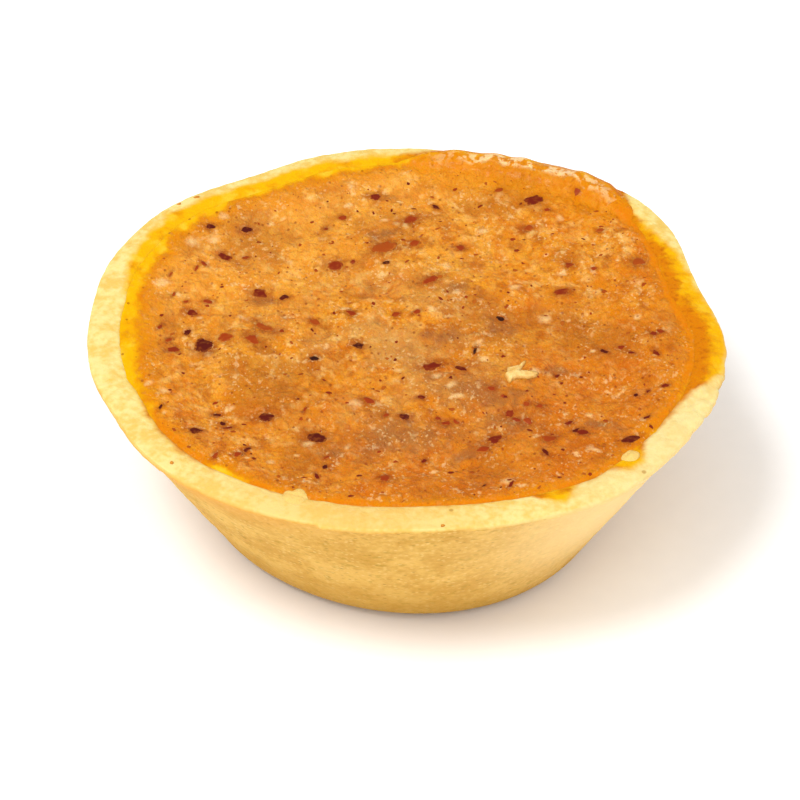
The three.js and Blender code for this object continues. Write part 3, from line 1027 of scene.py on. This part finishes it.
def add_bump(tree, shader, height, strength):
    """Raise the surface's grain by a height in millimetres."""
    bump = node(tree, "Bump", {"Height": height, "Strength": strength, "Distance": MM})
    tree.links.new(bump.outputs["Normal"], shader.inputs["Normal"])


# Effects that several materials share


def oven_mottle():
    """Uneven baking: a colour that wanders between pale and deep, in patches and in specks."""
    tree, given, result = new_group(
        "oven mottle",
        [("Place", "Vector"), ("Patch Size", "Float"), ("Speck Size", "Float"),
         ("Pale", "Color"), ("Deep", "Color")],
        [("Color", "Color"), ("Browning", "Float")])
    patch = {"Vector": given["Place"], "Scale": per_mm(tree, given["Patch Size"]), "Detail": 3.0}
    speck = {"Vector": given["Place"], "Scale": per_mm(tree, given["Speck Size"]), "Detail": 2.0}
    browning = times(tree, node(tree, "TexNoise", patch).outputs["Fac"], 0.6)
    browning = sum_of(tree, browning, node(tree, "TexNoise", speck).outputs["Fac"], 0.4)
    browning = between(tree, browning, 0.36, 0.64)
    tree.links.new(blend(tree, browning, given["Pale"], given["Deep"]), result["Color"])
    tree.links.new(browning, result["Browning"])
    return tree


def crumb_grain():
    """The grain of flour or ground nut, as a height for bump: rounded uneven grains with dust on them."""
    tree, given, result = new_group(
        "crumb grain",
        [("Place", "Vector"), ("Grain Size", "Float"), ("Dust", "Float"), ("Depth", "Float")],
        [("Height", "Float"), ("Tops", "Float")])
    scale = per_mm(tree, given["Grain Size"])
    dust = node(tree, "TexNoise", {"Vector": given["Place"], "Scale": scale, "Detail": 2.0})
    about = {0: dust.outputs["Color"], 1: (0.5, 0.5, 0.5)}
    shift = node(tree, "VectorMath", about, operation="SUBTRACT").outputs[0]
    reach = times(tree, given["Grain Size"], 1.5 * MM)
    shift = node(tree, "VectorMath", {0: shift, "Scale": reach}, operation="SCALE").outputs[0]
    uneven = node(tree, "VectorMath", {0: given["Place"], 1: shift}, operation="ADD").outputs[0]
    cells = node(tree, "TexVoronoi", {"Vector": uneven, "Scale": scale}, feature="F1")
    tops = between(tree, cells.outputs["Distance"], 0.85, 0.1)
    height = sum_of(tree, tops, dust.outputs["Fac"], given["Dust"])
    tree.links.new(times(tree, height, given["Depth"]), result["Height"])
    tree.links.new(tops, result["Tops"])
    return tree


def stray_specks():
    """Rare specks: a mask that is 1 in a few of the cells that the surface is divided into."""
    tree, given, result = new_group(
        "stray specks",
        [("Place", "Vector"), ("Cell Size", "Float"), ("Share", "Float"), ("Radius", "Float")],
        [("Mask", "Float")])
    scale = per_mm(tree, given["Cell Size"])
    cells = node(tree, "TexVoronoi", {"Vector": given["Place"], "Scale": scale}, feature="F1")
    chance = node(tree, "SeparateColor", {"Color": cells.outputs["Color"]}).outputs[0]
    chosen = node(tree, "Math", {0: chance, 1: given["Share"]}, operation="LESS_THAN").outputs[0]
    core = times(tree, given["Radius"], 0.4)
    spot = between(tree, cells.outputs["Distance"], given["Radius"], core)
    tree.links.new(times(tree, chosen, spot), result["Mask"])
    return tree


def yolk_glaze():
    """Baked egg yolk, from deep orange to bright yellow."""
    tree, given, result = new_group(
        "yolk glaze", [("Place", "Vector"), ("Deepness", "Float")], [("Color", "Color")])
    patches = sum_of(tree, given["Deepness"], noise_map(tree, given["Place"], 2.0, 3.0), 1.7)
    deep = between(tree, patches, 0.75, 1.65)
    colour = blend(tree, deep, "#D8A000", "#C06E00")
    milky = blotches(tree, given["Place"], 2.6, 3.0, 0.52, 0.68, 0.0, 0.6)
    colour = blend(tree, times(tree, milky, between(tree, deep, 0.5, 0.0)), colour, "#DCB432")
    grainy = blotches(tree, given["Place"], 0.8, 3.0, 0.5, 0.66, 0.0, 0.55)
    tree.links.new(blend(tree, times(tree, grainy, deep), colour, "#9A4E00"), result["Color"])
    return tree


# Finishes


def shortcrust(mottle, grain, specks, glaze):
    """Baked shortcrust: tan and sandy on the wall, with painted shade towards its base, pale yellow on the
    cut rim, with yolk film on it.
    """
    material, tree, shader, place = new_material("shortcrust")
    wall = mottled(tree, mottle, place, 5.0, 0.7, "#DAAE5A", "#C69642")["Color"]
    streaked = node(tree, "Mapping", {"Vector": place, "Scale": (1.0, 1.0, 1.7)}).outputs[0]
    olive = blotches(tree, streaked, 1.2, 4.0, 0.54, 0.7, 0.0, 0.5)
    wall = blend(tree, olive, wall, "#A8842E")
    flour = speckled(tree, specks, streaked, 0.6, 0.25, 0.5)
    wall = blend(tree, times(tree, flour, 0.5), wall, "#E6C67E")
    # Dark specks of the baked wall, which also stand in as painted shade in its pits
    pits = speckled(tree, specks, streaked, 0.8, 0.16, 0.36)
    wall = blend(tree, times(tree, pits, 0.55), wall, "#8E7028")
    scorch = speckled(tree, specks, place, 3.0, 0.05, 0.1)
    wall = blend(tree, times(tree, scorch, 0.85), wall, "#4E3812")
    toast = mark(tree, "toast")
    wall = blend(tree, between(tree, toast, 0.0, 1.0, 0.0, 0.8), wall, "#DA9F4A")
    wall = blend(tree, between(tree, toast, 0.0, -1.0, 0.0, 0.9), wall, "#EECB8C")
    # Painted shade: the lower wall is darkened towards the base, except on its paler side
    low = between(tree, mark(tree, "inside_edge"), -14.0, -28.0, 0.0, 0.6)
    wall = blend(tree, times(tree, low, between(tree, toast, -0.3, 0.0)), wall, "#B88A36")
    rim = mottled(tree, mottle, place, 3.2, 0.8, "#D8C680", "#D2AE58")["Color"]
    rim = blend(tree, between(tree, toast, 0.0, 1.0, 0.0, 0.6), rim, "#D3A658")
    rim = blend(tree, between(tree, toast, 0.0, -1.0, 0.0, 0.5), rim, "#D5C28C")
    dots = speckled(tree, specks, place, 2.4, 0.12, 0.16)
    rim = blend(tree, times(tree, dots, 0.6), rim, "#9A6A1C")
    edge = frayed(tree, "inside_edge", place, 2.0, 3.0, 0.5)
    cut = between(tree, edge, -0.1, 0.3)
    colour = blend(tree, cut, wall, rim)
    creep = frayed(tree, "yolk_film", place, 2.2, 4.0, 2.0)
    film = between(tree, creep, 0.4, 1.7)
    deepness = mark(tree, "film_deepness")
    yolk = use(tree, glaze, {"Place": place, "Deepness": deepness})["Color"]
    bits = speckled(tree, specks, place, 1.0, 0.3, 0.32)
    burnt = times(tree, bits, between(tree, deepness, 0.5, 1.0, 0.0, 0.6))
    yolk = blend(tree, burnt, yolk, "#8A3C04")
    tree.links.new(blend(tree, film, colour, yolk), shader.inputs["Base Color"])
    tree.links.new(between(tree, film, 0.0, 1.0, 0.75, 0.4), shader.inputs["Roughness"])
    sand = grained(tree, grain, place, 0.45, 0.9, 0.07)["Height"]
    calm = times(tree, sand, between(tree, cut, 0.0, 1.0, 1.0, 0.6))
    add_bump(tree, shader, calm, 0.7)
    set_up(shader, Specular_IOR_Level=0.08)
    set_up(shader, Subsurface_Weight=0.2, Subsurface_Radius=(1.0, 0.6, 0.25), Subsurface_Scale=1.2 * MM)
    return material


def almond_filling(mottle, grain, specks, glaze):
    """Moist baked almond filling: pale ground almond in clear orange syrup, stained by the skins,
    yolk-yellow at its edge, under a wet coat, with painted glints on its grains and on the spill's crest."""
    material, tree, shader, place = new_material("almond filling")
    place = node(tree, "Mapping", {"Vector": place, "Scale": (1.0, 0.75, 1.0)}).outputs[0]
    base = mottled(tree, mottle, place, 4.5, 1.3, "#D28A1E", "#C26600")["Color"]
    meal = grained(tree, grain, place, 1.0, 0.4, 0.16)
    fine = grained(tree, grain, place, 0.45, 0.5, 0.07)
    base = blend(tree, between(tree, fine["Tops"], 0.4, 0.05, 0.0, 0.4), base, "#A85400")
    bake = mark(tree, "bake")
    pebbles = times(tree, between(tree, meal["Tops"], 0.2, 0.9), between(tree, bake, -0.2, 0.7, 0.5, 0.25))
    base = blend(tree, pebbles, base, "#D69436")
    shade = blotches(tree, place, 1.9, 4.0, 0.48, 0.68, 0.0, 0.75)
    base = blend(tree, shade, base, "#9E5000")
    clear = blotches(tree, place, 2.6, 3.0, 0.52, 0.66, 0.0, 0.85)
    base = blend(tree, clear, base, "#C87600")
    cream = blotches(tree, place, 1.6, 3.0, 0.5, 0.7, 0.0, 0.75)
    cream = times(tree, cream, blotches(tree, place, 7.0, 2.0, 0.38, 0.6, 0.2, 1.0))
    cream = times(tree, cream, between(tree, bake, -0.1, 0.6, 1.0, 0.45))
    base = blend(tree, cream, base, "#DEA856")
    base = blend(tree, between(tree, bake, -0.2, 0.7, 0.0, 0.6), base, "#B25600")
    base = blend(tree, between(tree, bake, -0.1, -0.55, 0.0, 0.3), base, "#E0A040")
    cloud = blotches(tree, place, 5.0, 3.0, 0.36, 0.64, 0.0, 0.6)
    base = blend(tree, times(tree, mark(tree, "milky"), cloud), base, "#AE8042")
    patches = blotches(tree, place, 9.0, 3.0, 0.5, 0.66, 0.0, 0.5)
    base = blend(tree, patches, base, "#9E5A10")
    smudge = frayed(tree, "smudge", place, 1.5, 4.0, 2.4)
    base = blend(tree, between(tree, smudge, 1.0, 2.2, 0.0, 0.68), base, "#8A5228")
    ring = frayed(tree, "yolk_ring", place, 2.6, 4.0, 3.4)
    deepness = between(tree, ring, 3.2, 1.2, 0.0, 0.7)
    base = blend(tree, between(tree, ring, -1.2, 1.6, 0.0, 0.75), base, "#CC7C00")
    ring = between(tree, ring, 0.4, 2.9)
    yolk = use(tree, glaze, {"Place": place, "Deepness": deepness})["Color"]
    base = blend(tree, ring, base, yolk)
    pale = frayed(tree, "pale", place, 0.8, 3.0, 1.4)
    base = blend(tree, between(tree, pale, 0.5, 1.75, 0.0, 0.72), base, "#DFB67A")
    stain = frayed(tree, "stain", place, 0.9, 3.0, 1.4)
    base = blend(tree, between(tree, stain, 0.5, 1.7, 0.0, 0.85), base, "#8C3E06")
    dust = speckled(tree, specks, place, 0.8, 0.22, 0.3)
    base = blend(tree, times(tree, dust, 0.6), base, "#7A3004")
    spilt = mark(tree, "spilt")
    base = blend(tree, times(tree, spilt, 0.55), base, "#CC7A00")
    margin = frayed(tree, "margin", place, 1.6, 3.0, 2.2)
    film = times(tree, between(tree, margin, 0.7, 1.6), between(tree, ring, 0.0, 1.0, 1.0, 0.0))
    base = blend(tree, times(tree, film, 0.85), base, "#C87000")
    # Painted highlights: clusters of cream specks stand in for the wet glints on the grains
    painted_glint_scatter = blotches(tree, place, 3.6, 3.0, 0.4, 0.66, 0.06, 0.46)
    painted_glint = blotches(tree, place, 0.36, 1.0, 0.58, 0.76)
    painted_glint_shard = blotches(tree, place, 0.8, 2.0, 0.56, 0.72, 0.0, 0.9)
    calm = larger(tree, film, ring)
    dull = larger(tree, calm, spilt)
    painted_glint_scatter = times(tree, painted_glint_scatter, between(tree, dull, 0.0, 1.0, 1.0, 0.15))
    painted_glint = times(tree, larger(tree, painted_glint, painted_glint_shard), painted_glint_scatter)
    # Painted highlight: a broken cream band just inside the spill's front stands in for the gleam on its
    # crest
    front = mark(tree, "spill_front")
    wavy = sum_of(tree, front, noise_map(tree, place, 2.0, 2.0), 1.6)
    painted_crest_gleam = times(tree, between(tree, wavy, 1.9, 2.5), between(tree, wavy, 4.4, 3.4))
    broken = blotches(tree, place, 0.9, 3.0, 0.43, 0.55, 0.0, 0.9)
    painted_crest_gleam = times(tree, times(tree, painted_crest_gleam, mark(tree, "painted_gleam")), broken)
    base = blend(tree, larger(tree, painted_glint, painted_crest_gleam), base, "#E8C48C")
    base = blend(tree, between(tree, front, 1.2, 0.5, 0.0, 0.8), base, "#B86402")
    tree.links.new(base, shader.inputs["Base Color"])
    sheen = blotches(tree, place, 2.5, 2.0, 0.3, 0.7, 0.35, 0.5)
    tree.links.new(sheen, shader.inputs["Roughness"])
    tree.links.new(between(tree, dull, 0.0, 1.0, 0.28, 0.05), shader.inputs["Coat Weight"])
    grains = sum_of(tree, meal["Height"], fine["Height"])
    add_bump(tree, shader, times(tree, grains, between(tree, calm, 0.0, 1.0, 1.0, 0.2)), 1.0)
    set_up(shader, Subsurface_Weight=0.3, Subsurface_Radius=(1.0, 0.4, 0.12), Subsurface_Scale=1.0 * MM)
    set_up(shader, Specular_IOR_Level=0.05, Coat_Roughness=0.12)
    return material


def almond_skin(mottle):
    """Baked almond skin: near black through dark red and russet to tan by each fleck's own tone,
    melting away at its edges."""
    material, tree, shader, place = new_material("almond skin")
    tone = mark(tree, "tone")
    colour = "#2A0C07"
    for low, high, shade in SKIN_TONES:
        colour = blend(tree, between(tree, tone, low, high), colour, shade)
    thin = mottled(tree, mottle, place, 0.9, 0.3, "#B0661C", "#94480C")
    edge = sum_of(tree, mark(tree, "core"), thin["Browning"], 0.3)
    worn = blotches(tree, place, 0.6, 2.0, 0.5, 0.72, 0.0, 0.3)
    colour = blend(tree, worn, colour, thin["Color"])
    colour = blend(tree, between(tree, edge, 0.46, 0.06), colour, thin["Color"])
    tree.links.new(colour, shader.inputs["Base Color"])
    tree.links.new(between(tree, thin["Browning"], 0.0, 1.0, 0.4, 0.6), shader.inputs["Roughness"])
    set_up(shader, Specular_IOR_Level=0.1)
    return material


def loose_crumb(mottle, grain):
    """Crumbs of pastry, browned where they lie on the filling and pale against the rim."""
    material, tree, shader, place = new_material("loose crumb")
    browned = mottled(tree, mottle, place, 1.2, 0.4, "#DDBC74", "#CC9C48")
    edge = sum_of(tree, mark(tree, "core"), browned["Browning"], 0.2)
    browned = blend(tree, between(tree, edge, 0.3, 0.05), browned["Color"], "#C58A34")
    colour = blend(tree, mark(tree, "paleness"), browned, "#D8B25E")
    tree.links.new(colour, shader.inputs["Base Color"])
    fine = grained(tree, grain, place, 0.35, 0.6, 0.06)
    tree.links.new(between(tree, fine["Tops"], 0.0, 1.0, 0.8, 0.6), shader.inputs["Roughness"])
    add_bump(tree, shader, fine["Height"], 0.6)
    set_up(shader, Subsurface_Weight=0.2, Subsurface_Radius=(1.0, 0.7, 0.3), Subsurface_Scale=1.0 * MM)
    return material


def white_paper(mottle):
    """The plain pale floor."""
    material, tree, shader, place = new_material("white paper")
    colour = mottled(tree, mottle, place, 60.0, 3.0, "#F8F8F8", "#F6F6F6")["Color"]
    tree.links.new(colour, shader.inputs["Base Color"])
    set_up(shader, Roughness=0.9, Specular_IOR_Level=0.1)
    return material


# Studio


def add_floor(material):
    mesh = bpy.data.meshes.new("floor")
    corners = [(x * FLOOR_HALF, y * FLOOR_HALF, 0) for x, y in ((-1, -1), (1, -1), (1, 1), (-1, 1))]
    mesh.from_pydata(corners, [], [(0, 1, 2, 3)])
    mesh.materials.append(material)
    floor = bpy.data.objects.new("floor", mesh)
    bpy.context.scene.collection.objects.link(floor)


def towards(azimuth, elevation):
    """A direction from its angle round the tartlet and its height above the floor."""
    turn, rise = math.radians(azimuth), math.radians(elevation)
    return Vector((math.cos(rise) * math.cos(turn), math.cos(rise) * math.sin(turn), math.sin(rise)))


def add_light():
    """A round lamp from the front left, in a pale studio that is brighter at the front left and right."""
    data = bpy.data.lights.new("lamp", "AREA")
    data.shape = "DISK"
    data.size = LAMP_SIZE
    data.energy = LAMP_POWER
    lamp = bpy.data.objects.new("lamp", data)
    lamp.location = towards(*LAMP_PLACE)
    lamp.rotation_euler = (-lamp.location).to_track_quat("-Z", "Y").to_euler()
    bpy.context.scene.collection.objects.link(lamp)

    world = bpy.data.worlds.new("studio")
    world.use_nodes = True
    tree = world.node_tree
    view = node(tree, "TexCoord").outputs["Generated"]
    glow = STUDIO_GLOW
    for azimuth, elevation, low, high, strength in STUDIO_LIGHTS:
        inputs = {0: view, 1: towards(azimuth, elevation)}
        facing = node(tree, "VectorMath", inputs, operation="DOT_PRODUCT")
        glow = sum_of(tree, glow, between(tree, facing.outputs["Value"], low, high, 0.0, strength))
    tree.links.new(glow, tree.nodes["Background"].inputs["Strength"])
    tree.nodes["Background"].inputs["Color"].default_value = (1.0, 1.0, 1.0, 1.0)
    bpy.context.scene.world = world
    bpy.context.scene.view_settings.view_transform = "Standard"


def main():
    add_camera()
    mottle, grain, specks, glaze = oven_mottle(), crumb_grain(), stray_specks(), yolk_glaze()
    add_crust(shortcrust(mottle, grain, specks, glaze))
    strokes = add_flecks(almond_skin(mottle))
    add_filling(almond_filling(mottle, grain, specks, glaze), strokes)
    add_crumbs(loose_crumb(mottle, grain))
    add_floor(white_paper(mottle))
    add_light()


main()
